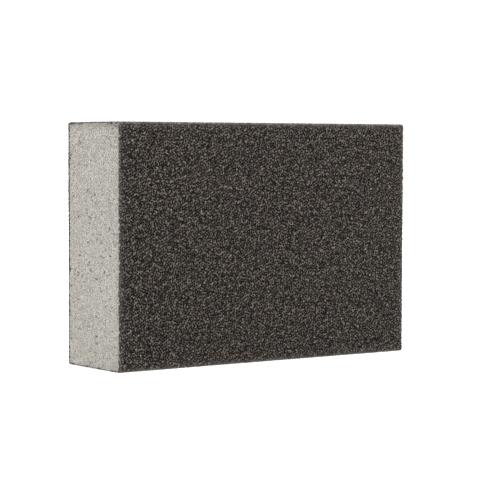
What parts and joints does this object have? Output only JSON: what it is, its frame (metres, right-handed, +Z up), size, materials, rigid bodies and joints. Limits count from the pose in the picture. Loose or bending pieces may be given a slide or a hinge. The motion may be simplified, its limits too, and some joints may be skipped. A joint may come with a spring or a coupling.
{
  "type": "sanding block",
  "caption": "Foam sanding block, a firm rectangular sponge with abrasive on its broad faces and long edges and bare foam at its ends.",
  "frame": {"origin": "centre of the bottom long edge's surface, on which the block stands", "axes": "+X along the length, +Y through the thickness from the front broad face to the back one, +Z up from the bottom edge to the top edge"},
  "size_m": [0.1, 0.027, 0.068],
  "materials": {
    "foam": "light warm grey fine-celled foam, open cut cells at both ends",
    "make_coat": "dark resin film, uneven, seen only as a thin dark line at the ends",
    "abrasive": "dark grey-brown abrasive grain locked in resin, rough, with paler grain tips"
  },
  "bodies": {
    "root": {"foam_core": "foam", "front_make_coat": "make_coat", "front_abrasive_coat": "abrasive", "back_make_coat": "make_coat", "back_abrasive_coat": "abrasive", "bottom_make_coat": "make_coat", "bottom_abrasive_coat": "abrasive", "top_make_coat": "make_coat", "top_abrasive_coat": "abrasive"}
  },
  "joints": []
}
